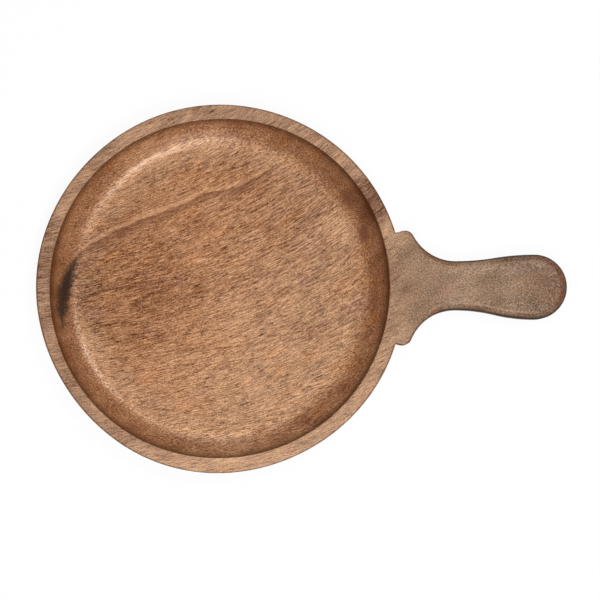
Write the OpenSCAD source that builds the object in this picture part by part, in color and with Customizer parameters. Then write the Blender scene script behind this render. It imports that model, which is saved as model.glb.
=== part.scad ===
// Round pizza serving board with a raised rim and a shaped handle, carved from one plank.
// Millimetres. The origin is the centre of the disc on its underside, +X runs out along the
// handle and +Z is up. Left is +Y and right is -Y, as seen from the disc looking down the handle.
// The board is made as a joiner makes it: a disc and a handle sawn in one from the plank, edges
// rounded over, and the well then turned out of the top.

/* [Disc] */
// Diameter of the disc across its rim
disc_d = 305; // [240:1:380]
// Height of the rim, which is the thickness of the planed plank
board_t = 25; // [21:0.5:32]
// Width of the flat land on top of the rim
rim_w = 12.2; // [8:0.1:18]

/* [Well] */
// Depth of the well below the rim
well_depth = 14; // [11.5:0.5:18]
// Radius of the cove where the floor turns up into the wall
cove_r = 22; // [12:1:40]
// Slope of the wall's straight stretch, from the horizontal
wall_deg = 24; // [16:1:32]
// Radius of the hollow in which the wall steepens towards the rim
brow_r = 14; // [8:0.5:18]
// Slope of the wall where it meets the rim's inner edge
brow_deg = 70; // [60:1:80]

/* [Handle] */
// Length of the handle from the edge of the disc to its tip
handle_l = 134.3; // [105:0.1:180]
// How far the handle's faces lie inside the disc's, top and bottom, from the sanding of the grip
relief = 0.1; // [0.05:0.05:0.5]
// How much the grip's faces stand up along the middle, from the rounding of its edges
crown = 0.6; // [0.2:0.1:1.5]
// Distance from the edge of the disc to the narrowest point of the handle
neck_reach = 42; // [34:0.5:54]
// Width of the handle at its narrowest point
neck_w = 40.5; // [30:0.1:50]
// How much further out each flank lies at the rounded end than at the neck
swell = 6.6; // [4:0.1:10]
// Share of the stretch from neck to end that curves outwards
belly_share = 0.5; // [0.3:0.01:0.65]
// Radius of the hollow curve between the ear and the neck
cavetto_r = 40; // [32:0.5:50]

/* [Ears] */
// Width of the handle's root across both ears
ear_w = 94.6; // [80:0.1:114]
// Radius of an ear's rounded end
ear_r = 7.5; // [5:0.1:9]
// Slope of an ear's back where it meets the disc
ear_back_deg = 14; // [6:1:25]

/* [Hand-cut drift] */
// How far the pair of ears lies to the left of the disc's centre line
ear_drift = 0.5; // [-3:0.1:3]
// How far the neck lies to the left of the disc's centre line
neck_drift = 2.6; // [-3:0.1:3]
// How far the rounded end lies to the left of the disc's centre line
end_drift = 1.4; // [-3:0.1:3]

/* [Edges] */
// Rounding of the rim's outer edge, top side
rim_round = 1.6; // [0.8:0.1:3]
// Rounding of the rim's inner edge
lip_round = 0.8; // [0.4:0.1:1.5]
// Rounding of the disc's lower edge
foot_round = 3; // [1.5:0.1:5]
// Rounding of the ears' edges
ear_round = 1.6; // [0.8:0.1:2.5]
// Rounding of the grip's edges, from the neck to the tip
grip_round = 6.5; // [3:0.1:8.5]

/* [Hidden] */
$fn = 180;

// Steps along each arc of the handle's outline, and across a rounded edge
ear_steps = 9;
cavetto_steps = 14;
flare_steps = 6;
belly_steps = 6;
end_steps = 14;
round_steps = 5;

// The well's cut runs past the rim's top by this much
overrun = 5;

disc_r = disc_d / 2;
well_r = disc_r - rim_w;
floor_t = board_t - well_depth;
// The handle's two root corners lie in the middle of the rim's land
root_r = disc_r - rim_w / 2;

// The handle's stations along X, and the radius of its end
neck_x = disc_r + neck_reach;
end_r = neck_w / 2 + swell;
end_x = disc_r + handle_l - end_r;

// A point on a circle, by its angle
function on_circle(centre, r, deg) = centre + r * [cos(deg), sin(deg)];

// The well's half section, from the rim's inner edge inwards and down: lip, brow, wall and cove
lip_c = [well_r + lip_round, board_t - lip_round];
brow_top = on_circle(lip_c, lip_round, 90 + brow_deg);
brow_c = on_circle(brow_top, brow_r, 90 + brow_deg);
brow_foot = on_circle(brow_c, brow_r, wall_deg - 90);
cove_top_z = floor_t + cove_r * (1 - cos(wall_deg));
cove_top = [brow_foot.x - (brow_foot.y - cove_top_z) / tan(wall_deg), cove_top_z];
cove_c = on_circle(cove_top, cove_r, 90 + wall_deg);

// A slice of a round between two angles less than a right angle apart
module slice(centre, r, from, to) {
    intersection() {
        translate(centre) circle(r);
        polygon([centre, on_circle(centre, 2 * r, from), on_circle(centre, 2 * r, to)]);
    }
}

// Half section of the disc before the well is cut, with its outer edges rounded
module disc_section() {
    polygon([
        [0, 0],
        [disc_r - foot_round, 0],
        [disc_r, foot_round],
        [disc_r, board_t - rim_round],
        [disc_r - rim_round, board_t],
        [0, board_t]
    ]);
    slice([disc_r - foot_round, foot_round], foot_round, -90, 0);
    slice([disc_r - rim_round, board_t - rim_round], rim_round, 0, 90);
}

// Half section of what the well's cut takes away
module well_section() {
    difference() {
        union() {
            polygon([
                [0, floor_t],
                [cove_c.x, floor_t],
                cove_top,
                brow_foot,
                brow_top,
                [lip_c.x, board_t],
                [lip_c.x, board_t + overrun],
                [0, board_t + overrun]
            ]);
            slice(cove_c, cove_r, -90, wall_deg - 90);
            slice(brow_c, brow_r, wall_deg - 90, brow_deg - 90);
        }
        slice(lip_c, lip_round, 90, 90 + brow_deg);
    }
}

// Arcs of the handle's outline. Each entry is a point and the way out of the wood there. The
// first point is left to the arc before it.
function bulge(centre, r, from, to, steps) = [
    for (k = [1:steps])
        let (deg = from + (to - from) * k / steps)
        [on_circle(centre, r, deg), [cos(deg), sin(deg)]]
];
function hollow(centre, r, from, to, steps) = [
    for (k = [1:steps])
        let (deg = from + (to - from) * k / steps)
        [on_circle(centre, r, deg), -[cos(deg), sin(deg)]]
];

// One flank of the handle, from inside the disc to the tip, drawn on the +Y side. It is a chain
// of tangent arcs: the ear, the hollow to the neck, a long flare, the belly, and a quarter of
// the round end. side is 1 on the left and -1 on the right, and says which way the drifts count.
// The ear's back runs straight on from the ear into the disc, as far as the root's corner.
function flank(side) =
    let (
        ear_h = ear_w / 2 + side * ear_drift,
        neck_h = neck_w / 2 + side * neck_drift,
        end_h = end_r + side * end_drift,
        cavetto_c = [neck_x, neck_h + cavetto_r],
        fall = cavetto_c.y - (ear_h - ear_r),
        ear_c = [neck_x - sqrt(pow(cavetto_r + ear_r, 2) - pow(fall, 2)), ear_h - ear_r],
        ear_deg = atan2(fall, neck_x - ear_c.x),
        back_deg = 90 + ear_back_deg,
        back = on_circle(ear_c, ear_r, back_deg),
        inwards = [-sin(back_deg), cos(back_deg)],
        abreast = -back * inwards,
        root = back + inwards * (abreast - sqrt(pow(root_r, 2) - back * back + pow(abreast, 2))),
        run = end_x - neck_x,
        rise = end_h - neck_h,
        radii = (run * run + rise * rise) / (2 * rise),
        belly_r = radii * belly_share,
        flare_r = radii - belly_r,
        flare_deg = asin(run / radii)
    )
    concat(
        [
            [root, [cos(back_deg), sin(back_deg)]],
            [back, [cos(back_deg), sin(back_deg)]]
        ],
        bulge(ear_c, ear_r, back_deg, ear_deg, ear_steps),
        hollow(cavetto_c, cavetto_r, 180 + ear_deg, 270, cavetto_steps),
        hollow([neck_x, neck_h + flare_r], flare_r, 270, 270 + flare_deg, flare_steps),
        bulge([end_x, end_h - belly_r], belly_r, 90 + flare_deg, 90, belly_steps),
        bulge([end_x, side * end_drift], end_r, 90, 0, end_steps)
    );

// The flank drawn on the other side of the centre line, walked back from the tip
function walked_back(entries) = [
    for (k = [len(entries) - 2:-1:0])
        [for (v = entries[k]) [v.x, -v.y]]
];

handle_outline = concat(flank(1), walked_back(flank(-1)));
outline_count = len(handle_outline);
ridge_count = (outline_count - 1) / 2;

// A size of the handle at a distance along it, which eases from one value at the edge of the
// disc to another at the neck and keeps that to the tip
function eased(x, at_disc, at_neck) =
    let (part = max(0, min(1, (x - disc_r) / neck_reach)))
    at_disc + (at_neck - at_disc) * part * part * (3 - 2 * part);

// One level of the handle: its outline drawn in, at the depth below the crown where the rounded
// edge has turned by this angle from upright. Depths are taken from the nearer face.
function level(turn) = [
    for (entry = handle_outline)
        let (
            r = eased(entry[0].x, ear_round, grip_round),
            place = entry[0] - r * (1 - cos(turn)) * entry[1]
        )
        [place.x, place.y, relief + eased(place.x, 0, crown) + r * (1 - sin(turn))]
];

// The crown's ridge, half way between the points of a level that face each other
function ridge(ring) = [
    for (k = [0:ridge_count - 1])
        let (middle = (ring[k] + ring[outline_count - 1 - k]) / 2)
        [middle.x, middle.y, relief]
];

function turned_over(places) = [for (v = places) [v.x, v.y, board_t - v.z]];

// The faces between a level's outline and its ridge, whose points begin at start and at crest in
// the list of points. The last pair of points closes on the tip.
function crown_faces(start, crest) = [
    for (k = [0:ridge_count - 1])
        let (
            left = start + k,
            right = start + outline_count - 1 - k,
            middle = crest + k
        )
        each k == ridge_count - 1
            ? [[left, left + 1, middle], [middle, left + 1, right]]
            : [
                [left, left + 1, middle + 1],
                [left, middle + 1, middle],
                [middle, middle + 1, right],
                [right, middle + 1, right - 1]
            ]
];

function flipped(faces) = [for (f = faces) [f[2], f[1], f[0]]];

// The handle with its ears, as a skin over its levels and its two ridges
module handle() {
    rounding = [for (k = [round_steps:-1:0]) level(90 * k / round_steps)];
    levels = concat(
        rounding,
        [for (k = [round_steps:-1:0]) turned_over(rounding[k])]
    );
    under = len(levels) * outline_count;
    over = under + ridge_count;
    upper = under - outline_count;
    low_ridge = ridge(rounding[0]);
    polyhedron(
        points = concat(
            [for (ring = levels) each ring],
            low_ridge,
            turned_over(low_ridge)
        ),
        faces = concat(
            [
                for (ring = [0:len(levels) - 2], i = [0:outline_count - 1])
                    let (
                        a = ring * outline_count + i,
                        b = ring * outline_count + (i + 1) % outline_count
                    )
                    each [
                        [a, b, b + outline_count],
                        [a, b + outline_count, a + outline_count]
                    ]
            ],
            flipped(crown_faces(0, under)),
            crown_faces(upper, over),
            [[0, outline_count - 1, under], [upper, over, under - 1]]
        )
    );
}

// The whole board: disc and handle in one piece of wood, with the well turned out of its top
module board() {
    color("#a97b5a")
    difference() {
        union() {
            rotate_extrude() disc_section();
            handle();
        }
        rotate_extrude() well_section();
    }
}

board();
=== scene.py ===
"""A round pizza serving board of oiled hardwood, carved with its handle from one plank.

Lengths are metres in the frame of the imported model: the origin is the centre of the disc on its
underside, +X runs out along the handle and +Z is up. Left is +Y and right is -Y.
"""

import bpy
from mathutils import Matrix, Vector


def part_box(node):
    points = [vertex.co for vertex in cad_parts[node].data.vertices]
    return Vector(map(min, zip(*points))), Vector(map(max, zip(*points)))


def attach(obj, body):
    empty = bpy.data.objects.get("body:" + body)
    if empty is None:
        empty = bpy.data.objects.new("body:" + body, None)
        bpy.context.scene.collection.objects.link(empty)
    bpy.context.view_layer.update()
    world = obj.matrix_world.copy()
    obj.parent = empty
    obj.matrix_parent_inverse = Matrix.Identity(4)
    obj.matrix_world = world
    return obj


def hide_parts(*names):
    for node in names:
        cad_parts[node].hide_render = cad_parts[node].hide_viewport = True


bl_info = {
    "name": "Serving Board Maker",
    "version": (1, 0, 0),
    "blender": (4, 5, 0),
    "location": "View3D > Sidebar > Serving Board",
    "description": "Carves a round serving board with a turned well and sets it on a pale table",
    "category": "Add Mesh",
}

from collections import namedtuple
from math import asin, atan2, cos, pi, radians, sin, sqrt, tan

import bpy
from bpy.props import FloatProperty, FloatVectorProperty, PointerProperty
from mathutils import Vector, noise

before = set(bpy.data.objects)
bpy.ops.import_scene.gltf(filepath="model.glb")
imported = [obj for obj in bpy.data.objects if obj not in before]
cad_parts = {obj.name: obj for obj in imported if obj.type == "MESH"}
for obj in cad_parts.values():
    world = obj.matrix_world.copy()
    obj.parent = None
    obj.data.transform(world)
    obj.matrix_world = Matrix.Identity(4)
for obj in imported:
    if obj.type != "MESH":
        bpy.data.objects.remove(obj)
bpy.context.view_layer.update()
BOARD_LOW, BOARD_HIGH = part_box("board")

MM = 0.001
DISC_RADIUS = -BOARD_LOW[0]
BOARD_TOP = BOARD_HIGH[2]
HANDLE_TIP = BOARD_HIGH[0]

# What the camera sees: its aim at the rim's level, and half the picture's width, in millimetres
VIEW_AIM = (65.75, -9.62, 23.4)
VIEW_HALF_WIDTH = 247.6
# Even light from all round, as a share of what shows a colour as it is written
ROOM_FILL = 0.18
# How white the table glows to the camera, and how much light it throws back
TABLE_WHITE = 0.94
TABLE_GREY = 0.9
# The table lies this much below the board, so that no two faces share a place
TABLE_GAP = 0.5 * MM
SENSOR_WIDTH = 36.0
WHITE = (1.0, 1.0, 1.0, 1.0)

# Soft lamps: degrees round the board from the handle's line, degrees off from straight above,
# millimetres across and watts
Lamp = namedtuple("Lamp", "name bearing lean size power")
LAMPS = (
    Lamp("lamp_near", -40, 17, 250, 3.1),
    Lamp("lamp_front", -64, 22, 260, 7.3),
    Lamp("lamp_far", -86, 30, 260, 5.7),
    Lamp("lamp_back", 36, 24, 340, 7.2),
    Lamp("lamp_top", 85, 30, 600, 3.8),
)

# The hand-cut strays of the two round edges: waves round the disc, size in millimetres, and the
# angle of a crest in degrees
RIM_STRAYS = ((1, 0.36, 101), (2, 0.22, -88), (3, 0.21, 29), (4, 0.29, -14), (5, 0.25, -36))
WELL_STRAYS = ((1, 0.65, 126), (2, 0.5, 40), (3, 0.2, 40), (4, 0.35, -42))

# Hollows that sanding leaves in the top: metres along X and Y over which they change, a level of
# the noise that sets them apart, and how strongly they count
Hollows = namedtuple("Hollows", "along across level share")
BROAD_HOLLOWS = Hollows(0.09, 0.06, 3.7, 0.6)
FINE_HOLLOWS = Hollows(0.03, 0.018, 8.1, 0.25)

# Steps along each arc of the handle's outline
EAR_STEPS = 14
CAVETTO_STEPS = 28
FLARE_STEPS = 16
BELLY_STEPS = 16
END_STEPS = 26

# Steps along each stretch of the well's section, and over the land of the rim
FLOOR_STEPS = 24
COVE_STEPS = 8
WALL_STEPS = 5
BROW_STEPS = 12
LIP_STEPS = 5
LAND_STEPS = 5

# Columns of faces round the disc: at the handle's root, and over the rest
ROOT_COLUMNS = 36
FREE_COLUMNS = 324

# Steps over the board's edge: in each rounding, and on the upright side between them
ROUND_STEPS = 7
SIDE_STEPS = 3
# A narrow row of faces beside each rounding, which keeps its smooth shading off the flat
SUPPORT = 0.5 * MM

# The foot's rounding grows to its full size over this turn past the handle's root
FOOT_EASE = radians(12)
# The well's section follows the stray of its edge from this share of the cove's radius
STRAY_START = 0.6


def linear(value):
    """A value as seen on screen, from 0 to 1, as the linear value that the shaders use. The
    numbers are those of the standard curve for screens."""
    if value <= 0.04045:
        return value / 12.92
    return ((value + 0.055) / 1.055) ** 2.4


def length(name, millimetres, description):
    """A size property, written in millimetres and kept in metres."""
    return FloatProperty(
        name=name,
        description=description,
        default=millimetres * MM,
        subtype="DISTANCE",
        unit="LENGTH",
    )


def turn(name, degrees, description):
    """An angle property, written in degrees and kept in radians."""
    return FloatProperty(
        name=name,
        description=description,
        default=radians(degrees),
        subtype="ANGLE",
        unit="ROTATION",
    )


def share(name, value, description):
    """A property that runs from none, 0, to all, 1."""
    return FloatProperty(
        name=name,
        description=description,
        default=value,
        min=0.0,
        max=1.0,
        subtype="FACTOR",
    )


def colour(name, red, green, blue, description):
    """A colour property, written as screen values from 0 to 255."""
    return FloatVectorProperty(
        name=name,
        description=description,
        default=[linear(part / 255) for part in (red, green, blue)],
        size=3,
        min=0.0,
        max=1.0,
        subtype="COLOR",
    )


class BoardShape(bpy.types.PropertyGroup):
    """Sizes of the board that its box in the frame doesn't give."""

    rim_width: length("Rim width", 12.2, "Width of the flat land on top of the rim")
    well_depth: length("Well depth", 14, "Depth of the well below the rim")
    cove_radius: length("Cove radius", 34, "Radius where the floor turns up into the wall")
    brow_radius: length("Brow radius", 14, "Radius of the hollow where the wall steepens")
    wall_slope: turn("Wall slope", 24, "Slope of the wall's straight stretch")
    brow_slope: turn("Brow slope", 70, "Slope of the wall where it meets the rim")
    lip_round: length("Lip rounding", 0.8, "Rounding of the rim's inner edge")
    rim_round: length("Rim rounding", 1.6, "Rounding of the rim's outer edge")
    foot_round: length("Foot rounding", 3, "Rounding of the disc's lower edge")
    ear_round: length("Ear rounding", 1.6, "Rounding of the edges at the ears")
    grip_round: length("Grip rounding", 6.5, "Rounding of the grip's edges")
    crown: length("Crown", 0.6, "How much the grip's faces stand up along the middle")
    neck_reach: length("Neck reach", 42, "Distance from the disc's edge to the narrowest point")
    neck_width: length("Neck width", 40.5, "Width of the handle at its narrowest point")
    swell: length("Swell", 6.6, "How much further out a flank lies at the end than at the neck")
    belly_share: share("Belly share", 0.5, "Share of the grip's flank that curves outwards")
    cavetto_radius: length("Cavetto radius", 40, "Radius of the hollow between ear and neck")
    ear_width: length("Ear width", 94.6, "Width of the handle's root across both ears")
    ear_radius: length("Ear radius", 7.5, "Radius of an ear's rounded end")
    ear_back: turn("Ear back", 14, "Slope of an ear's back where it meets the disc")
    ear_drift: length("Ear drift", 0.5, "How far the pair of ears lies to the left")
    neck_drift: length("Neck drift", 2.6, "How far the neck lies to the left")
    end_drift: length("End drift", 1.4, "How far the rounded end lies to the left")
    sanding: length("Sanding", 0.25, "How much hand sanding takes off the top here and there")


class BoardFinish(bpy.types.PropertyGroup):
    """Colours of the oiled wood."""

    dish: colour("Dish", 165, 114, 78, "Oiled wood of the well's floor")
    # Along the cove this colour also serves as a painted sheen
    dry: colour("Dry", 156, 117, 87, "Drier wood towards the handle and along the cove")
    land: colour("Land", 155, 121, 96, "Drier wood of the rim")
    grip: colour("Grip", 126, 98, 75, "Wood of the grip, darkened by hands")
    # On the well's wall this colour is partly painted shade
    soaked_and_shaded: colour("Soaked", 102, 50, 2, "End grain full of oil")
    amber: colour("Amber", 180, 118, 70, "Blotches where the oil sank in")
    mauve: colour("Mauve", 150, 108, 92, "Cool blotches between them")
    # Pale flecks of the grain; the painted highlights inside the well also take this colour
    gleam: colour("Gleam", 224, 174, 132, "Pale flecks where fibres catch the light")
    pore: colour("Pore", 74, 28, 0, "Oil and dust in the open pores")
    ring: colour("Ring", 96, 52, 34, "Dark line of a growth ring")
    stain: colour("Stain", 36, 12, 0, "Deep stain in the grain")
    # On the grip's rounded edges this colour also carries painted highlights
    worn: colour("Worn", 204, 174, 149, "Pale flecks on the dry grip")
    grime: colour("Grime", 52, 26, 4, "Dirt in the grip's pores")
    pore_depth: length("Pore depth", 0.012, "How deep the open pores lie below the surface")


class BoardStage(bpy.types.PropertyGroup):
    """The table, the lamps and the camera."""

    floor_size: length("Floor size", 6000, "Length of the floor's sides")
    camera_distance: length("Camera distance", 1700, "From the camera to the rim's level")
    camera_tilt: turn("Camera tilt", 2.5, "How far the camera leans over the right side")
    lamp_distance: length("Lamp distance", 1600, "From each lamp to the middle of the disc")


# The board's shape

Station = namedtuple("Station", "place out over under")


def heading(direction):
    """The unit vector in a direction."""
    return Vector((cos(direction), sin(direction)))


def on_circle(centre, radius, direction):
    """A point on a circle, by its angle."""
    return centre + radius * heading(direction)


def between(start, end, steps):
    """Evenly spaced numbers from after start up to end."""
    return [start + (end - start) * k / steps for k in range(1, steps + 1)]


def smooth(part):
    """Eases from 0 to 1, and stays there outside that range."""
    part = min(1.0, max(0.0, part))
    return part * part * (3 - 2 * part)


def stray(waves, direction):
    """How far a hand-cut edge strays outwards in a direction."""
    return MM * sum(
        size * cos(count * (direction - radians(crest)))
        for count, size, crest in waves
    )


class Board:
    """The board's surfaces, worked out from its sizes and from its box in the frame."""

    def __init__(self, sizes):
        self.s = sizes
        self.stray_reach = max(stray(RIM_STRAYS, radians(degree)) for degree in range(360))
        self.left = self.flank(1)
        self.right = self.flank(-1)

    def edge_radius(self, direction):
        """Radius of the disc's hand-cut outer edge."""
        return DISC_RADIUS - self.stray_reach + stray(RIM_STRAYS, direction)

    def worn(self, x, y):
        """How much lower than the planed plank the sanded top lies at a place."""
        depth = 0.5
        for hollows in (BROAD_HOLLOWS, FINE_HOLLOWS):
            place = Vector((x / hollows.along, y / hollows.across, hollows.level))
            depth += hollows.share * noise.noise(place)
        return self.s.sanding * min(1.0, max(0.0, depth))

    def rounding(self, x):
        """Rounding of the handle's edges at a distance along it."""
        part = smooth((x - DISC_RADIUS) / self.s.neck_reach)
        return self.s.ear_round + (self.s.grip_round - self.s.ear_round) * part

    def crown_fall(self, x):
        """How far the handle's faces fall away at its edges, at a distance along it."""
        return self.s.crown * smooth((x - DISC_RADIUS) / self.s.neck_reach)

    def flank(self, side):
        """Stations along one flank, from the notch behind the ear to the tip: a chain of tangent
        arcs with the ear, the hollow to the neck, a long flare, the belly and the round end."""
        s = self.s
        neck_x = DISC_RADIUS + s.neck_reach
        end_radius = s.neck_width / 2 + s.swell
        end_x = HANDLE_TIP - end_radius
        ear_half = s.ear_width / 2 + side * s.ear_drift
        neck_half = s.neck_width / 2 + side * s.neck_drift
        end_half = end_radius + side * s.end_drift

        cavetto_centre = Vector((neck_x, neck_half + s.cavetto_radius))
        fall = cavetto_centre.y - (ear_half - s.ear_radius)
        joined = s.cavetto_radius + s.ear_radius
        ear_centre = Vector((neck_x - sqrt(joined**2 - fall**2), ear_half - s.ear_radius))
        ear_turn = atan2(fall, neck_x - ear_centre.x)
        back_turn = pi / 2 + s.ear_back
        back = on_circle(ear_centre, s.ear_radius, back_turn)
        back_out = heading(back_turn)

        run = end_x - neck_x
        rise = end_half - neck_half
        radii = (run**2 + rise**2) / (2 * rise)
        belly_radius = radii * s.belly_share
        flare_radius = radii - belly_radius
        flare_turn = asin(run / radii)
        end_centre = Vector((end_x, side * s.end_drift))

        inwards = Vector((-sin(back_turn), cos(back_turn)))
        edge = self.edge_radius(side * atan2(back.y, back.x))
        abreast = -back.dot(inwards)
        notch = back + inwards * (abreast - sqrt(edge**2 - back.length_squared + abreast**2))
        disc_out = notch.normalized()
        notch_out = (disc_out + back_out) / (1 + disc_out.dot(back_out))

        points = [(notch, notch_out), (back, back_out)]

        def bulge(centre, radius, start, end, steps, side_out=1):
            for direction in between(start, end, steps):
                way = heading(direction)
                points.append((centre + radius * way, side_out * way))

        def hollow(centre, radius, start, end, steps):
            bulge(centre, radius, start, end, steps, side_out=-1)

        flare_centre = Vector((neck_x, neck_half + flare_radius))
        belly_centre = Vector((end_x, end_half - belly_radius))
        neck_turn = 1.5 * pi
        bulge(ear_centre, s.ear_radius, back_turn, ear_turn, EAR_STEPS)
        hollow(cavetto_centre, s.cavetto_radius, pi + ear_turn, neck_turn, CAVETTO_STEPS)
        hollow(flare_centre, flare_radius, neck_turn, neck_turn + flare_turn, FLARE_STEPS)
        bulge(belly_centre, belly_radius, pi / 2 + flare_turn, pi / 2, BELLY_STEPS)
        bulge(end_centre, end_radius, pi / 2, 0, END_STEPS)
        return [
            self.handle_station(Vector((place.x, side * place.y)), Vector((out.x, side * out.y)))
            for place, out in points
        ]

    def handle_station(self, place, out):
        """A station on the handle's outline."""
        rounding = self.rounding(place.x)
        fall = self.crown_fall(place.x)
        top = BOARD_TOP - self.worn(place.x, place.y) - fall
        return Station(place, out, (rounding, top), (rounding, fall))

    def disc_station(self, direction):
        """A station on the disc's outline. The foot's rounding grows from the ears' rounding."""
        way = heading(direction)
        place = self.edge_radius(direction) * way
        notch = self.left[0].place
        away = min(direction, 2 * pi - direction) - atan2(notch.y, notch.x)
        growth = self.s.foot_round - self.s.ear_round
        foot = self.s.ear_round + growth * smooth(away / FOOT_EASE)
        top = BOARD_TOP - self.worn(place.x, place.y)
        return Station(place, way, (self.s.rim_round, top), (foot, 0))

    def well_profile(self):
        """The well's half section from its middle outwards: radius, height, and the share of the
        inner edge's stray that each point follows."""
        s = self.s
        floor = BOARD_TOP - s.well_depth
        well_radius = DISC_RADIUS - s.rim_width
        lip = Vector((well_radius + s.lip_round, BOARD_TOP - s.lip_round))
        brow_top = on_circle(lip, s.lip_round, pi / 2 + s.brow_slope)
        brow = on_circle(brow_top, s.brow_radius, pi / 2 + s.brow_slope)
        wall_turn = s.wall_slope - pi / 2
        brow_foot = on_circle(brow, s.brow_radius, wall_turn)
        cove_top_z = floor + s.cove_radius * (1 - cos(s.wall_slope))
        cove_top_x = brow_foot.x - (brow_foot.y - cove_top_z) / tan(s.wall_slope)
        cove_top = Vector((cove_top_x, cove_top_z))
        cove = on_circle(cove_top, s.cove_radius, pi / 2 + s.wall_slope)

        brow_turn = s.brow_slope - pi / 2
        points = [Vector((reach, floor)) for reach in between(0, cove.x, FLOOR_STEPS)]
        for turned in between(-pi / 2, wall_turn, COVE_STEPS):
            points.append(on_circle(cove, s.cove_radius, turned))
        for part in between(0, 1, WALL_STEPS):
            points.append(cove_top.lerp(brow_foot, part))
        for turned in between(wall_turn, brow_turn, BROW_STEPS):
            points.append(on_circle(brow, s.brow_radius, turned))
        for turned in between(pi / 2 + s.brow_slope, pi / 2, LIP_STEPS):
            points.append(on_circle(lip, s.lip_round, turned))
        start = STRAY_START * cove.x
        return [(p.x, p.y, smooth((p.x - start) / (lip.x - start))) for p in points]


def inset(station, depth):
    """A place on the board's face, drawn in from the outline."""
    return station.place - depth * station.out


class Skin:
    """A mesh in the making, woven row by row from the middle of the top, over the edge, and back
    in to the middle of the underside."""

    def __init__(self):
        self.places = []
        self.faces = []

    def add(self, x, y, z):
        """Adds a corner and gives its number."""
        self.places.append((x, y, z))
        return len(self.places) - 1

    def weave(self, row, after, closed=False):
        """Joins two rows of equal length by four-sided faces."""
        count = len(row)
        for k in range(count if closed else count - 1):
            beside = (k + 1) % count
            self.faces.append((row[k], after[k], after[beside], row[beside]))

    def fan(self, point, row, closed=False):
        """Joins a point to the row after it by triangles."""
        count = len(row)
        for k in range(count if closed else count - 1):
            self.faces.append((point, row[k], row[(k + 1) % count]))

    def close(self, row, point, closed=False):
        """Joins a row to the point after it by triangles."""
        self.fan(point, row[::-1], closed)


def columns(board, depth):
    """Directions of the polar columns, anticlockwise from the right-hand notch. Those of the
    handle's root end where faces drawn in by this depth meet in the notches."""
    right = inset(board.right[0], depth)
    left = inset(board.left[0], depth)
    start = atan2(right.y, right.x)
    end = atan2(left.y, left.x)
    root = [start] + between(start, end, ROOT_COLUMNS)
    free_start = atan2(board.left[0].place.y, board.left[0].place.x)
    free_end = 2 * pi + atan2(board.right[0].place.y, board.right[0].place.x)
    free = between(free_start, free_end, FREE_COLUMNS + 1)[:-1]
    return root, free


def carve(board):
    """Builds the board's mesh."""
    skin = Skin()
    stations = board.right + board.left[-2::-1]
    root, free = columns(board, board.s.rim_round + SUPPORT)
    stations += [board.disc_station(direction) for direction in free]

    over = top_face(board, skin, root, free)
    rows = [over]
    for part, amount in edge_profile():
        rows.append([edge_corner(skin, station, part, amount) for station in stations])
    rows.append(underside(board, skin, stations))
    for row, after in zip(rows, rows[1:]):
        skin.weave(row, after, closed=True)
    return skin


def edge_profile():
    """Steps over the board's edge, from the top face to the underside. Each is a pair that names
    the turn of the upper or the lower rounding, or a height between them."""
    upper = [("over", angle) for angle in [0] + between(0, pi / 2, ROUND_STEPS)]
    side = [("side", part) for part in between(0, 1, SIDE_STEPS)[:-1]]
    lower = [("under", angle) for angle in [pi / 2] + between(pi / 2, 0, ROUND_STEPS)]
    return upper + side + lower


def edge_corner(skin, station, kind, amount):
    """Adds a corner of the edge at a station."""
    over_round, top = station.over
    under_round, bottom = station.under
    if kind == "over":
        place = inset(station, over_round * (1 - sin(amount)))
        return skin.add(place.x, place.y, top - over_round * (1 - cos(amount)))
    if kind == "under":
        place = inset(station, under_round * (1 - sin(amount)))
        return skin.add(place.x, place.y, bottom + under_round * (1 - cos(amount)))
    high = top - over_round
    low = bottom + under_round
    return skin.add(station.place.x, station.place.y, high + (low - high) * amount)


def top_face(board, skin, root, free):
    """Weaves the top: the well, the land of the rim and the handle's upper face. Gives its
    outermost corners along the outline."""
    directions = root + free
    profile = board.well_profile()
    rim_depth = board.s.rim_round + SUPPORT
    well_edge = profile[-1][0]
    middle = skin.add(0, 0, profile[0][1] - board.worn(0, 0))
    rings = []

    def add_ring(reaches, height):
        ring = []
        for direction, reach in zip(directions, reaches):
            x = reach * cos(direction)
            y = reach * sin(direction)
            ring.append(skin.add(x, y, height - board.worn(x, y)))
        rings.append(ring)

    strays = [stray(WELL_STRAYS, direction) for direction in directions]
    inner = [well_edge + aside for aside in strays]
    outer = [board.edge_radius(direction) - rim_depth for direction in directions]
    for radius, height, follows in profile:
        add_ring([radius + follows * aside for aside in strays], height)
    for part in between(0, 1, LAND_STEPS):
        add_ring([near + (far - near) * part for near, far in zip(inner, outer)], BOARD_TOP)
    skin.fan(middle, rings[0], closed=True)
    for ring, after in zip(rings, rings[1:]):
        skin.weave(ring, after, closed=True)
    outermost = rings[-1]
    rows = handle_face(board, skin, outermost[: len(root)], over=True)
    return outline_corners(rows) + outermost[len(root):]


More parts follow.
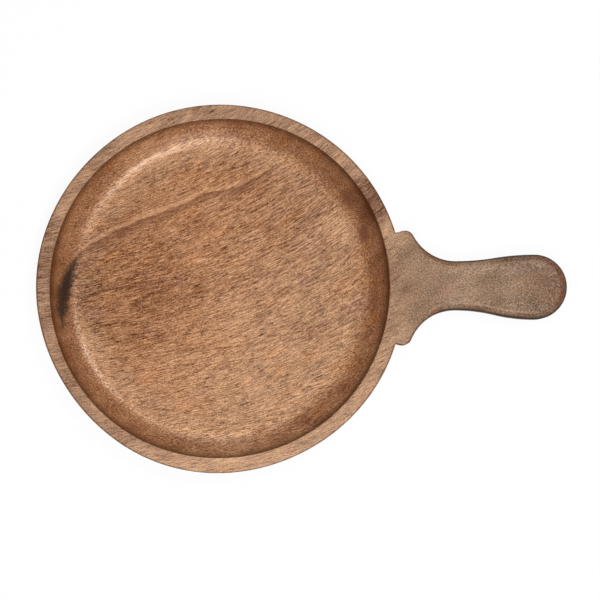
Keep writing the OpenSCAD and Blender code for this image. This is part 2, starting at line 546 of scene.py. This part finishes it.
def handle_face(board, skin, first_row, over):
    """Weaves the handle's upper or lower face outwards from the disc. Gives its rows, of which
    the last is the tip alone."""
    rows = [first_row]
    end_centre = Vector((HANDLE_TIP - board.s.neck_width / 2 - board.s.swell, board.s.end_drift))
    count = len(first_row) - 1
    for left, right in zip(board.left[1:], board.right[1:]):
        rounding = left.over[0] if over else left.under[0]
        start = inset(right, rounding + SUPPORT)
        end = inset(left, rounding + SUPPORT)
        steps = [k / count for k in range(count + 1)]
        # The two flanks meet in one corner at the tip
        if left.place.y - right.place.y < MM:
            steps = [0.5]
        row = []
        for part in steps:
            place = start.lerp(end, part)
            off_middle = abs(2 * part - 1)
            if place.x > end_centre.x:
                full = (end_centre - end).length
                off_middle = (place - end_centre).length / full
            fall = board.crown_fall(place.x) * off_middle**2
            height = BOARD_TOP - board.worn(place.x, place.y) - fall if over else fall
            row.append(skin.add(place.x, place.y, height))
        rows.append(row)
    woven = rows[:-1] if over else rows[-2::-1]
    for row, after in zip(woven, woven[1:]):
        skin.weave(row, after)
    if over:
        skin.close(rows[-2], rows[-1][0])
    else:
        skin.fan(rows[-1][0], rows[-2])
    return rows


def outline_corners(rows):
    """The corners of the handle's face along the outline, from notch to notch."""
    right = [row[0] for row in rows]
    left = [row[-1] for row in rows[-2::-1]]
    return right + left


def underside(board, skin, stations):
    """Weaves the flat underside. Gives its outermost corners along the outline."""
    depth = board.s.ear_round + SUPPORT
    root, free = columns(board, depth)
    free_stations = stations[-len(free):]
    outer = []
    for direction in root:
        reach = board.edge_radius(direction) - depth
        outer.append(Vector((reach * cos(direction), reach * sin(direction))))
    outer += [inset(station, station.under[0] + SUPPORT) for station in free_stations]
    rings = []
    inmost = 1 / FLOOR_STEPS
    for part in between(1 + inmost, inmost, FLOOR_STEPS):
        rings.append([skin.add(part * place.x, part * place.y, 0) for place in outer])
    for ring, after in zip(rings, rings[1:]):
        skin.weave(ring, after, closed=True)
    skin.close(rings[-1], skin.add(0, 0, 0), closed=True)
    rows = handle_face(board, skin, rings[0][: len(root)], over=False)
    return outline_corners(rows) + rings[0][len(root):]


# The wood's finish. Its places are millimetres from the middle of the disc.

# A change from one finish to another, or the two limits of a number
Span = namedtuple("Span", "start end")

# A noise in the wood: the lengths over which it changes along the fibres, across them and down
# through the plank, how finely it is broken up, how strongly it counts, and shifts along the
# fibres and down that set it apart from the others
Noise = namedtuple("Noise", "along across down detail amount shift sink", defaults=(0.0, 0.0))
BROAD_WANDER = Noise(70, 45, 60, 1.0, 1.6)
FINE_WANDER = Noise(13, 9, 15, 1.0, 0.45)
WIDE_PORES = Noise(12, 1.15, 1.15, 0.0, 1.0)
NARROW_PORES = Noise(8, 0.9, 0.9, 0.0, 1.0, 31.7)
PALE_THREADS = Noise(10, 1.05, 1.05, 0.0, 1.0, 64.3)
LONG_FIBRES = Noise(11, 0.55, 0.55, 0.0, 1.4, 12.4)
SHORT_FIBRES = Noise(5.5, 0.46, 0.46, 0.0, 1.2, 45.8)
SPECKLE = Noise(1.2, 0.62, 0.62, 0.0, 1.0, 17.1)
CROWDING = Noise(24, 9, 12, 2.0, 0.22)
FIGURE = Noise(40, 8, 9, 2.0, 0.07)
BLOTCHES = Noise(24, 12, 16, 1.0, 1.0)
WARM_BLOTCHES = Noise(30, 14, 20, 2.0, 1.0, 3.0, 4.0)
COOL_BLOTCHES = Noise(26, 14, 20, 2.0, 1.0, 8.0, 9.0)
RING_WANDER = Noise(18, 18, 25, 2.0, 1.0)
STAIN_FRAY = Noise(1.5, 1.5, 1.5, 2.0, 1.0)
STAIN_WANDER = Noise(7, 7, 1, 1.0, 1.0, 0.0, 1.0)
# The noise that the shader makes lies round its mean, and is stretched to reach about 1
NOISE_MEAN = 0.5
NOISE_STRETCH = 4
NOISE_ROUGHNESS = 0.5

# How the fibres run: their length for each millimetre along X, and their slope. They rise to the
# left at about 22 degrees, less near the lower left and more near the upper right, and bend back
# along the handle.
FIBRE_STRETCH = 1.08
FIBRE_SLOPE = 0.4
FIBRE_BOW = 0.0006
FIBRE_FAN = 0.0012
HANDLE_BOW = 0.0026
HANDLE_BOW_START = 140
# End grain shows where a face looks along this way, nearly along X
END_GRAIN_X = 0.99
END_GRAIN_Y = 0.12

# Where the board's parts begin: outwards from the lip's radius, up from the underside, down from
# the rim, out from the middle of the disc and out along the handle
LIP_SPAN = Span(3.5, 2.5)
UNDERSIDE_SPAN = Span(4, 8)
RIM_SPAN = Span(0.4, 1.2)
WALL_SPAN = Span(121, 132)
GRIP_SPAN = Span(132, 168)
# The wall's finish starts nearer the middle on the side of the handle
WALL_SKEW = 0.025

# Pores are thin threads, and crowded in some places
THREAD_THINNESS = 7
CROWDING_MEAN = 0.87
CROWDING_LIMITS = Span(0.3, 1.3)

# How strongly the marks of the grain show, and how much weaker they are on the grip and the floor
SPECKLE_IN_FIBRES = 1.4
FIBRE_SHARE = 0.42
PALE_SHARE = 0.35
GRIP_CALM = 0.85
GRIP_SPECKLE = 0.95
SHADE_LIFT = 0.06
DRY_CONTRAST = 0.8
OILED_CONTRAST = 0.2
BLOTCH_SHARE = 0.36
FLOOR_CALM = 0.18
# A painted highlight where fibres glint in a ring over the cove: its radius and reach, and how
# strongly it shows
GLINT_RADIUS = 121
GLINT_REACH = 9
GLINT_FIBRES = 0.45
GLINT_SHARE = 0.36
GLINT_FALL = 0.0018

# Broad darker and paler patches: middle and reach along X and Y, and how much paler the patch is.
# Most are the wood's own tone; those noted below are painted light, in full or in part.
Patch = namedtuple("Patch", "x y reach_x reach_y amount")
PATCHES = (
    # Partly the wood's tone and partly painted shade: a darker floor on the -X side
    Patch(-80, 0, 85, 75, -0.33),
    # Partly the wood's tone and partly painted light: a paler side towards -Y
    Patch(30, -75, 150, 80, 0.22),
    Patch(60, 85, 70, 60, -0.15),
    Patch(60, 103, 30, 18, 0.25),
    Patch(-103, -60, 22, 30, 0.2),
    Patch(50, -10, 50, 40, 0.1),
    Patch(126, 74, 24, 26, -0.9),
    Patch(-146, 25, 16, 70, -0.3),
    # Painted highlight along the grip's rounded edge at +Y
    Patch(206, 18, 38, 10, 0.4),
    Patch(265, -2, 25, 28, -0.25),
    # Painted sheen on the wall beside the cove's highlight at +Y
    Patch(-60, 118, 40, 24, 0.3),
    Patch(-126, -73, 34, 34, -0.2),
    Patch(138, 4, 22, 48, -0.28),
    Patch(20, -143, 105, 20, 0.34),
    Patch(98, 56, 24, 20, 0.5),
    Patch(74, -36, 26, 18, -0.2),
    Patch(68, 62, 26, 14, -0.16),
    Patch(-118, 2, 10, 48, -0.3),
    Patch(-20, 57, 24, 16, -0.15),
    Patch(-60, -8, 20, 28, -0.15),
    Patch(-48, -82, 20, 12, -0.16),
    # Painted highlight: a thin pale line along the grip's rounded edge at -Y
    Patch(232, -19.5, 26, 3, 0.45),
)
# Two small dark smudges on the wall, with how strongly they show, and the span of their edges
SMUDGES = (Patch(104, 77, 5, 7, 0.5), Patch(119, 46, 4.5, 8, 0.75))
SMUDGE_SPAN = Span(1.3, 0.2)

# The grip gets darker towards its tip
TIP_SPAN = Span(205, 275)
TIP_DARKENING = 0.45
# The well is less oiled towards the handle, slanting across the grain. A ring along the cove takes
# the same colour as a painted sheen.
DRY_SPAN = Span(-45, 80)
DRY_SLANT = 0.4
SHEEN_RING_RADIUS = 112
SHEEN_RING_REACH = 16
SHEEN_RING_SHARE = 0.9
# How strongly the warm and the cool blotches show: everywhere, inside the well and on its wall
BLOTCH_SPAN = Span(0.0, 1.4)
AMBER_SHARE = 0.3
AMBER_INSIDE = 0.45
AMBER_ON_WALL = 0.25
MAUVE_SHARE = 0.6
MAUVE_ON_WALL = 0.45
# How much oil end grain drinks, and how much darker the wall is, which changes along X and Y. The
# wall's darkening is partly oil and partly painted shade.
END_GRAIN_SOAK = 2.4
WALL_SOAK_AND_SHADE = 0.95
WALL_SOAK_AND_SHADE_X = 0.005
WALL_SOAK_AND_SHADE_Y = 0.003
# How strongly flecks show, and how much weaker they are in soaked wood and on the grip
SOAKED_CALM = 0.2
DARK_FLECKS = 0.85
PALE_FLECKS = 0.7
SOAKED_DULLING = 0.75
GRIP_DULLING = 0.4

# The growth ring: how it leans through the wall above the floor's level, how far across the grain
# it lies, and the two stretches along X where it steps out by a few millimetres and back again
RING_LEAN = 4.6
RING_LEVEL = 11
RING_PLACE = 76
RING_STEP = 9
RING_STEP_OUT = Span(-135, -60)
RING_STEP_BACK = Span(-18, 20)
# The ring fades out at both ends along X. A pale band lies beside its dark line.
RING_RIGHT_END = Span(72, 10)
RING_LEFT_END = Span(-124, -110)
DARK_LINE_INNER = Span(-10, -0.5)
DARK_LINE_OUTER = Span(1.2, 0.2)
PALE_BAND_INNER = Span(0.6, 2.2)
PALE_BAND_OUTER = Span(6.5, 3.0)
DARK_LINE_SHARE = 0.5
PALE_BAND_SHARE = 0.27

# The stain on the left of the wall: its half width, how that shrinks away from its middle, and the
# curve of its core, which slants and bends
STAIN_HALF = 6.0
STAIN_MIDDLE = 1
STAIN_TAPER = 0.006
STAIN_PLACE = 129
STAIN_SLANT = 0.22
STAIN_BEND = 0.0055
# Its edge is more ragged on the side towards the floor, and it ends at the well's rim
STAIN_RAGGED = 0.8
STAIN_RAGGED_INWARDS = 1.7
STAIN_INWARDS_SPAN = Span(0, 4)
STAIN_SPECKLE = 2.0
STAIN_RIM = 12
STAIN_EDGE = Span(-1.5, 1.5)
STAIN_CORE = Span(0.0, 4.5)
STAIN_DARKENING = 0.6

# How far a face leans before it is painted darker, mostly as shade with some dust, and dulled, by
# the
# upright part of its outward direction: outside the grip and on it. Outside the well it has to lean
# a little less.
STEEP_SPAN = Span(0.78, 0.2)
STEEP_GRIP_SPAN = Span(0.76, 0.46)
STEEP_OUTSIDE = 0.2
SHADE_AND_DUST_SHARE = 0.6
SHADE_AND_DUST_ON_GRIP = 0.2

# How dull the wood is: dry, and what oil, hands, pores, dust and the stain change in that
DRY_ROUGHNESS = 0.46
OILED_SHINE = 0.29
HANDLED_SHINE = 0.16
HANDLED_SPAN = Span(160, 200)
PORE_DULLING = 0.25
DUST_DULLING = 0.4
STAIN_SHINE = 0.1
FIBRE_HEIGHT = 0.003
OIL_REFLECTION = 0.26
OIL_REFLECTION_TINT = (1.0, 0.82, 0.66, 1.0)


class Reading:
    """A number or a vector that varies over the surface, with plain arithmetic on it."""

    def __init__(self, weaver, socket):
        self.weaver = weaver
        self.socket = socket

    def __add__(self, other):
        return self.weaver.maths("ADD", self, other)

    def __sub__(self, other):
        return self.weaver.maths("SUBTRACT", self, other)

    def __rsub__(self, other):
        return self.weaver.maths("SUBTRACT", other, self)

    def __mul__(self, other):
        return self.weaver.maths("MULTIPLY", self, other)

    __radd__ = __add__
    __rmul__ = __mul__

    def __truediv__(self, other):
        return self.weaver.maths("DIVIDE", self, other)

    def __rtruediv__(self, other):
        return self.weaver.maths("DIVIDE", other, self)

    def __pow__(self, other):
        return self.weaver.maths("POWER", self, other)

    def at_least(self, other):
        """The larger of this reading and another."""
        return self.weaver.maths("MAXIMUM", self, other)

    def at_most(self, other):
        """The smaller of this reading and another."""
        return self.weaver.maths("MINIMUM", self, other)

    def size(self):
        """This reading without its sign."""
        return self.weaver.maths("ABSOLUTE", self)

    def rise(self, start, end):
        """A smooth step from 0 at start to 1 at end, where end may be the smaller."""
        return self.weaver.rise(self, start, end)

    def band(self, middle, reach):
        """1 where this reading is near a middle, and 0 further off than a reach."""
        return (self - middle).size().rise(reach, 0)


class Weaver:
    """Adds shader nodes to a material or a world, and hands out what they read."""

    def __init__(self, owner):
        self.tree = owner.node_tree

    def node(self, kind, inputs=(), **settings):
        """Adds a node, with its settings and its inputs by name or number."""
        node = self.tree.nodes.new(kind)
        for name, value in settings.items():
            setattr(node, name, value)
        for name, value in dict(inputs).items():
            self.plug(node.inputs[name], value)
        return node

    def plug(self, socket, value):
        """Links a reading to a socket, or sets a plain value on it."""
        if isinstance(value, Reading):
            self.tree.links.new(value.socket, socket)
        else:
            socket.default_value = value

    def reading(self, node, output=0):
        """What a node's output reads."""
        return Reading(self, node.outputs[output])

    def maths(self, operation, *values):
        """Plain arithmetic on readings and numbers."""
        return self.reading(self.node("ShaderNodeMath", enumerate(values), operation=operation))

    def rise(self, value, start, end):
        """A smooth step of a reading between two numbers."""
        if start > end:
            return 1 - self.rise(value, end, start)
        inputs = {"Value": value, "From Min": start, "From Max": end}
        return self.reading(self.node("ShaderNodeMapRange", inputs, interpolation_type="SMOOTHSTEP"))

    def vector(self, x, y, z):
        """A vector from three readings."""
        return self.reading(self.node("ShaderNodeCombineXYZ", {"X": x, "Y": y, "Z": z}))

    def parts(self, vector):
        """The three parts of a vector."""
        node = self.node("ShaderNodeSeparateXYZ", {"Vector": vector})
        return [self.reading(node, axis) for axis in "XYZ"]

    def blend(self, amount, start, end):
        """A colour between two colours."""
        node = self.node("ShaderNodeMix", data_type="RGBA")
        self.plug(node.inputs["Factor"], amount)
        self.plug(node.inputs[6], rgba(start))
        self.plug(node.inputs[7], rgba(end))
        return Reading(self, node.outputs[2])

    def tone(self, tint, amount):
        """A colour made lighter or darker by a factor."""
        node = self.node("ShaderNodeVectorMath", {"Scale": amount}, operation="SCALE")
        self.plug(node.inputs[0], tint)
        return self.reading(node)

    def clouds(self, kind, along, across, down):
        """Soft noise around 0, of a kind and as strong as the kind says."""
        place = self.vector(
            along / kind.along + kind.shift,
            across / kind.across,
            down / kind.down + kind.sink,
        )
        inputs = {"Vector": place, "Scale": 1.0, "Detail": kind.detail, "Roughness": NOISE_ROUGHNESS}
        level = self.reading(self.node("ShaderNodeTexNoise", inputs), "Fac")
        return (level - NOISE_MEAN) * NOISE_STRETCH * kind.amount


def rgba(tint):
    """A colour property as a four-part colour, and a reading as it is."""
    return tint if isinstance(tint, Reading) else (*tint[:3], 1.0)


def blank(owner):
    """Empties the nodes of a new material or world, and gives a weaver for them."""
    owner.use_nodes = True
    owner.node_tree.nodes.clear()
    return Weaver(owner)


class Plank:
    """Readings over the whole plank: its places, the run of its grain and the board's parts."""

    def __init__(self, weaver, sizes):
        self.w = weaver
        coordinates = weaver.node("ShaderNodeTexCoord")
        place = weaver.parts(weaver.reading(coordinates, "Object"))
        self.x, self.y, self.z = [part / MM for part in place]
        self.out_x, self.out_y, self.out_z = weaver.parts(weaver.reading(coordinates, "Normal"))
        self.radius = (self.x * self.x + self.y * self.y) ** 0.5
        self.u = FIBRE_STRETCH * self.x
        self.v = self.across_fibres()
        self.inside = self.inside_well(sizes)
        self.up_wall = (self.radius + WALL_SKEW * self.x).rise(*WALL_SPAN) * self.inside
        self.grip = self.x.rise(*GRIP_SPAN)
        self.pores = self.open_pores()
        self.speckle = self.grain(SPECKLE)
        fibres = self.grain(LONG_FIBRES) + self.grain(SHORT_FIBRES)
        self.fibres = fibres + SPECKLE_IN_FIBRES * self.speckle

    def across_fibres(self):
        """How far across the fibres a place lies. The place along them is u, and this is v."""
        past_rim = (self.x - HANDLE_BOW_START).at_least(0)
        v = self.y - FIBRE_SLOPE * self.x - FIBRE_BOW * self.x * self.x - FIBRE_FAN * self.x * self.y
        v = v + HANDLE_BOW * past_rim * past_rim
        broad = self.w.clouds(BROAD_WANDER, self.x, self.y, self.z)
        fine = self.w.clouds(FINE_WANDER, self.x, self.y, self.z)
        return v + (broad + fine)

    def inside_well(self, sizes):
        """1 inside the well, and 0 outside it."""
        well_radius = (DISC_RADIUS - sizes.rim_width) / MM
        rim_height = BOARD_TOP / MM
        inside = self.radius.rise(well_radius + LIP_SPAN.start, well_radius + LIP_SPAN.end)
        inside = inside * self.z.rise(*UNDERSIDE_SPAN)
        return inside * self.z.rise(rim_height - RIM_SPAN.start, rim_height - RIM_SPAN.end)

    def grain(self, kind):
        """Noise that is drawn out along the fibres."""
        return self.w.clouds(kind, self.u, self.v, self.z)

    def threads(self, kind):
        """Thin wavy threads along the fibres."""
        return (1 - THREAD_THINNESS * self.grain(kind).size()).at_least(0)

    def open_pores(self):
        """Open pores of two widths, crowded in some places."""
        crowding = self.grain(CROWDING) + CROWDING_MEAN
        crowding = crowding.at_least(CROWDING_LIMITS.start).at_most(CROWDING_LIMITS.end)
        return self.threads(WIDE_PORES).at_least(self.threads(NARROW_PORES)) * crowding

    def away(self, patch):
        """How far a place lies from a patch's middle: 0 there, and 1 all round at its reach."""
        along = (self.x - patch.x) / patch.reach_x
        across = (self.y - patch.y) / patch.reach_y
        return along ** 2 + across ** 2

    def shade(self):
        """How much paler than its colour the wood is, or darker where this is below 0. Besides the
        grain and the wood's broad patches it holds painted highlights over the cove and along the
        grip's edges.
        """
        shade = FIBRE_SHARE * self.fibres + PALE_SHARE * self.threads(PALE_THREADS) - self.pores
        shade = shade * (1 - GRIP_CALM * self.grip) + GRIP_SPECKLE * self.grip * self.speckle
        shade = (shade + SHADE_LIFT) * (DRY_CONTRAST + OILED_CONTRAST * self.inside)
        floor = self.inside * (1 - self.up_wall)
        blotches = (BLOTCH_SHARE - FLOOR_CALM * floor) * self.grain(BLOTCHES)
        shade = shade + self.grain(FIGURE) + blotches
        # Painted highlight: a pale ring over the cove, streaked by the fibres and fading towards the
        # handle
        glint = self.radius.band(GLINT_RADIUS, GLINT_REACH) * self.inside
        glint = glint * (1 + GLINT_FIBRES * self.fibres).at_least(0)
        shade = shade + glint * (GLINT_SHARE - GLINT_FALL * self.x)
        # Broad patches: mostly the wood's tone, with painted highlights and painted light among them
        for patch in PATCHES:
            shade = shade + self.away(patch).rise(1.0, 0.0) * patch.amount
        return shade

    def plain_tint(self, finish):
        """The wood's colour without its flecks. The well is oiled more deeply than the rim, and the
        grip is darker."""
        w = self.w
        tint = w.blend(self.grip, finish.land, finish.grip)
        tint = w.tone(tint, 1 - TIP_DARKENING * self.x.rise(*TIP_SPAN))
        drier_and_sheen = (self.x - DRY_SLANT * self.y).rise(*DRY_SPAN)
        # A ring along the cove takes the dry colour as a painted sheen
        drier_and_sheen = drier_and_sheen.at_least(self.radius.band(SHEEN_RING_RADIUS, SHEEN_RING_REACH) * SHEEN_RING_SHARE)
        tint = w.blend(self.inside, tint, w.blend(drier_and_sheen, finish.dish, finish.dry))
        warm = self.grain(WARM_BLOTCHES).rise(*BLOTCH_SPAN)
        warm = warm * (AMBER_SHARE + AMBER_INSIDE * self.inside + AMBER_ON_WALL * self.up_wall)
        tint = w.blend(warm, tint, finish.amber)
        cool = self.grain(COOL_BLOTCHES).rise(*BLOTCH_SPAN)
        return w.blend(cool * (MAUVE_SHARE - MAUVE_ON_WALL * self.up_wall), tint, finish.mauve)

    def soaked_and_shaded(self):
        """How much oil the wood drank, with painted shade on the well's wall. End grain drinks more,
        so the wall and the board's edges are darker where they cut it. The wall is darker still,
        partly as painted shade."""
        across = (END_GRAIN_X * self.out_x + END_GRAIN_Y * self.out_y).size()
        on_wall = (WALL_SOAK_AND_SHADE + WALL_SOAK_AND_SHADE_X * self.x - WALL_SOAK_AND_SHADE_Y * self.y) * self.up_wall
        return 1 - 1 / (1 + END_GRAIN_SOAK * across + on_wall)

    def flecked(self, finish, tint, soaked_and_shaded):
        """A colour with the dark and the pale flecks of the grain in it."""
        w = self.w
        shade = self.shade() * (1 - SOAKED_CALM * soaked_and_shaded)
        dark = (shade * -DARK_FLECKS).at_least(0).at_most(1)
        tint = w.blend(dark, tint, w.blend(self.grip, finish.pore, finish.grime))
        shine = (1 - SOAKED_DULLING * soaked_and_shaded) * (1 - GRIP_DULLING * self.grip)
        # Painted highlights in the shade show here as pale flecks: gleam in the well, worn on the
        # grip
        pale = (shade * PALE_FLECKS).at_least(0).at_most(1) * shine
        return w.blend(pale, tint, w.blend(self.grip, finish.gleam, finish.worn))

    def ringed(self, finish, tint):
        """A colour with the growth ring in it: a dark line with a pale band beside it."""
        ring = self.v + RING_LEAN * (self.z - RING_LEVEL) + self.grain(RING_WANDER)
        crest = RING_PLACE + self.x.rise(*RING_STEP_OUT) * RING_STEP
        crest = crest - self.x.rise(*RING_STEP_BACK) * RING_STEP
        line = ring - crest
        shown = self.x.rise(*RING_RIGHT_END) * self.x.rise(*RING_LEFT_END) * self.inside
        dark = line.rise(*DARK_LINE_INNER) * line.rise(*DARK_LINE_OUTER) * shown
        pale = line.rise(*PALE_BAND_INNER) * line.rise(*PALE_BAND_OUTER) * shown
        tint = self.w.blend(dark * DARK_LINE_SHARE, tint, finish.ring)
        return self.w.blend(pale * PALE_BAND_SHARE, tint, finish.gleam)

    def stain(self):
        """How deep a place lies in the ragged stain in which the growth ring ends."""
        core = self.x - STAIN_SLANT * self.y - STAIN_BEND * self.y * self.y + STAIN_PLACE
        ragged = self.w.clouds(STAIN_FRAY, self.x, self.v, self.z)
        ragged = ragged + self.w.clouds(STAIN_WANDER, self.x, self.y, 0.0)
        ragged = ragged * (STAIN_RAGGED + STAIN_RAGGED_INWARDS * core.rise(*STAIN_INWARDS_SPAN))
        ragged = ragged + STAIN_SPECKLE * self.speckle
        half = STAIN_HALF - STAIN_TAPER * (self.y + STAIN_MIDDLE) ** 2
        return half - core.size() + ragged - STAIN_RIM * (1 - self.inside)

    def smudges(self):
        """How strongly the two dark smudges show."""
        first, second = [self.away(spot).rise(*SMUDGE_SPAN) * spot.amount for spot in SMUDGES]
        return first.at_least(second) * self.inside

    def steepness(self):
        """Where faces are steep. There the colour is painted darker, mostly as shade with some dust,
        and the wood is dulled.
        """
        upright = self.out_z.size()
        steep = (upright - STEEP_OUTSIDE * (1 - self.inside)).rise(*STEEP_SPAN) * (1 - self.grip)
        return steep + upright.rise(*STEEP_GRIP_SPAN) * self.grip

    def roughness(self, steep, stained):
        """How dull the wood is."""
        rough = DRY_ROUGHNESS - OILED_SHINE * self.inside
        rough = rough - HANDLED_SHINE * self.x.rise(*HANDLED_SPAN)
        rough = rough + PORE_DULLING * self.pores + DUST_DULLING * steep
        return rough - STAIN_SHINE * stained


def wood(finish, sizes):
    """The oiled wood, with its grain running through the whole plank."""
    material = bpy.data.materials.new("oiled_wood")
    w = blank(material)
    plank = Plank(w, sizes)
    soaked_and_shaded = plank.soaked_and_shaded()
    stain = plank.stain()
    stained = stain.rise(*STAIN_EDGE)
    steep = plank.steepness()

    # Oil in the end grain, and partly painted shade on the well's wall
    tint = w.blend(soaked_and_shaded, plank.plain_tint(finish), finish.soaked_and_shaded)
    tint = plank.flecked(finish, tint, soaked_and_shaded)
    tint = plank.ringed(finish, tint)
    tint = w.tone(tint, 1 - STAIN_DARKENING * stained)
    tint = w.blend(stain.rise(*STAIN_CORE), tint, finish.stain)
    tint = w.blend(plank.smudges(), tint, finish.ring)
    # Painted shade, with some dust, on the steep edges, the board's sides and the well's brow
    tint = w.tone(tint, 1 - steep * (SHADE_AND_DUST_SHARE + SHADE_AND_DUST_ON_GRIP * plank.grip))

    height = FIBRE_HEIGHT * plank.fibres - plank.pores * (finish.pore_depth / MM)
    bump = w.node("ShaderNodeBump", {"Height": height, "Strength": 1.0, "Distance": MM})
    shader = w.node("ShaderNodeBsdfPrincipled")
    w.plug(shader.inputs["Base Color"], tint)
    w.plug(shader.inputs["Roughness"], plank.roughness(steep, stained))
    w.plug(shader.inputs["Normal"], w.reading(bump))
    shader.inputs["Specular IOR Level"].default_value = OIL_REFLECTION
    shader.inputs["Specular Tint"].default_value = OIL_REFLECTION_TINT
    w.node("ShaderNodeOutputMaterial", {"Surface": w.reading(shader)})
    return material


def seen_directly(w):
    """1 for light that the camera or a reflection sees, and 0 for light that falls on things."""
    rays = w.node("ShaderNodeLightPath")
    seen = w.reading(rays, "Is Camera Ray")
    seen = seen.at_least(w.reading(rays, "Is Glossy Ray"))
    return seen.at_least(w.reading(rays, "Is Transmission Ray"))


def table_finish():
    """The pale table: nearly white to the camera, with the board's shadow left in it."""
    material = bpy.data.materials.new("pale_table")
    w = blank(material)
    matt = w.node("ShaderNodeBsdfDiffuse", {"Color": (TABLE_GREY, TABLE_GREY, TABLE_GREY, 1.0)})
    glow = w.node("ShaderNodeEmission", {"Color": WHITE, "Strength": 1.0})
    mixed = w.node("ShaderNodeMixShader")
    w.plug(mixed.inputs[0], seen_directly(w) * TABLE_WHITE)
    w.plug(mixed.inputs[1], w.reading(matt))
    w.plug(mixed.inputs[2], w.reading(glow))
    w.node("ShaderNodeOutputMaterial", {"Surface": w.reading(mixed)})
    return material


# The operators

class SERVINGBOARD_OT_board(bpy.types.Operator):
    """Carve the board with its well and handle out of one plank"""

    bl_idname = "servingboard.board"
    bl_label = "Carve Board"

    def execute(self, context):
        sizes = context.scene.board_shape
        skin = carve(Board(sizes))
        mesh = bpy.data.meshes.new("board_wood")
        mesh.from_pydata(skin.places, [], skin.faces)
        if mesh.validate():
            raise RuntimeError("the board's mesh has bad faces")
        mesh.shade_smooth()
        mesh.materials.append(wood(context.scene.board_finish, sizes))
        board = bpy.data.objects.new("board_wood", mesh)
        context.collection.objects.link(board)
        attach(board, "root")
        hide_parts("board")
        return {"FINISHED"}


class SERVINGBOARD_OT_stage(bpy.types.Operator):
    """Set the board on a pale table, with soft lamps and the camera above"""

    bl_idname = "servingboard.stage"
    bl_label = "Set Stage"

    def execute(self, context):
        stage = context.scene.board_stage
        half = stage.floor_size / 2
        mesh = bpy.data.meshes.new("table_top")
        corners = [(-half, -half, 0), (half, -half, 0), (half, half, 0), (-half, half, 0)]
        mesh.from_pydata(corners, [], [(0, 1, 2, 3)])
        mesh.materials.append(table_finish())
        table = bpy.data.objects.new("table_top", mesh)
        table.location.z = -TABLE_GAP
        context.collection.objects.link(table)

        for lamp in LAMPS:
            self.hang_lamp(context, lamp)
        self.light_room(context.scene)
        self.place_camera(context)
        context.scene.view_settings.view_transform = "Standard"
        return {"FINISHED"}

    def hang_lamp(self, context, lamp):
        """Hangs a soft lamp that faces the middle of the disc."""
        light = bpy.data.lights.new(lamp.name, "AREA")
        light.size = lamp.size * MM
        light.energy = lamp.power
        hung = bpy.data.objects.new(lamp.name, light)
        bearing = radians(lamp.bearing)
        lean = radians(lamp.lean)
        towards = Vector((sin(lean) * cos(bearing), sin(lean) * sin(bearing), cos(lean)))
        hung.location = context.scene.board_stage.lamp_distance * towards
        hung.rotation_euler = towards.to_track_quat("Z", "Y").to_euler()
        context.collection.objects.link(hung)

    def light_room(self, scene):
        """Fills the room with even light, and keeps it white behind the board."""
        world = bpy.data.worlds.new("pale_room")
        scene.world = world
        w = blank(world)
        strength = ROOM_FILL + seen_directly(w) * (1 - ROOM_FILL)
        glow = w.node("ShaderNodeBackground", {"Color": WHITE, "Strength": strength})
        w.node("ShaderNodeOutputWorld", {"Surface": w.reading(glow)})

    def place_camera(self, context):
        """Looks straight down on the board, leaning a little over its right side."""
        stage = context.scene.board_stage
        camera = bpy.data.cameras.new("camera")
        camera.sensor_width = SENSOR_WIDTH
        camera.lens = SENSOR_WIDTH / 2 * stage.camera_distance / (VIEW_HALF_WIDTH * MM)
        held = bpy.data.objects.new("camera", camera)
        aim = Vector(VIEW_AIM) * MM
        lean = Vector((0, -sin(stage.camera_tilt), cos(stage.camera_tilt)))
        held.location = aim + stage.camera_distance * lean
        held.rotation_euler = (stage.camera_tilt, 0, 0)
        context.collection.objects.link(held)
        context.scene.camera = held


class SERVINGBOARD_PT_maker(bpy.types.Panel):
    """Lists the steps that make the board"""

    bl_idname = "SERVINGBOARD_PT_maker"
    bl_label = "Serving Board"
    bl_space_type = "VIEW_3D"
    bl_region_type = "UI"
    bl_category = "Serving Board"

    def draw(self, context):
        layout = self.layout
        for operator in (SERVINGBOARD_OT_board, SERVINGBOARD_OT_stage):
            layout.operator(operator.bl_idname)
        for name in PROPERTY_GROUPS:
            group = getattr(context.scene, name)
            box = layout.box()
            for key in group.__annotations__:
                box.prop(group, key)


PROPERTY_GROUPS = {
    "board_shape": BoardShape,
    "board_finish": BoardFinish,
    "board_stage": BoardStage,
}
CLASSES = (
    *PROPERTY_GROUPS.values(),
    SERVINGBOARD_OT_board,
    SERVINGBOARD_OT_stage,
    SERVINGBOARD_PT_maker,
)


def register():
    """Registers the classes and hangs their settings on the scene."""
    for kind in CLASSES:
        bpy.utils.register_class(kind)
    for name, group in PROPERTY_GROUPS.items():
        setattr(bpy.types.Scene, name, PointerProperty(type=group))


def unregister():
    """Takes the settings and the classes away again."""
    for name in PROPERTY_GROUPS:
        delattr(bpy.types.Scene, name)
    for kind in reversed(CLASSES):
        bpy.utils.unregister_class(kind)


def main():
    """Makes the board and its stage."""
    register()
    bpy.ops.servingboard.board()
    bpy.ops.servingboard.stage()


if __name__ == "__main__":
    main()
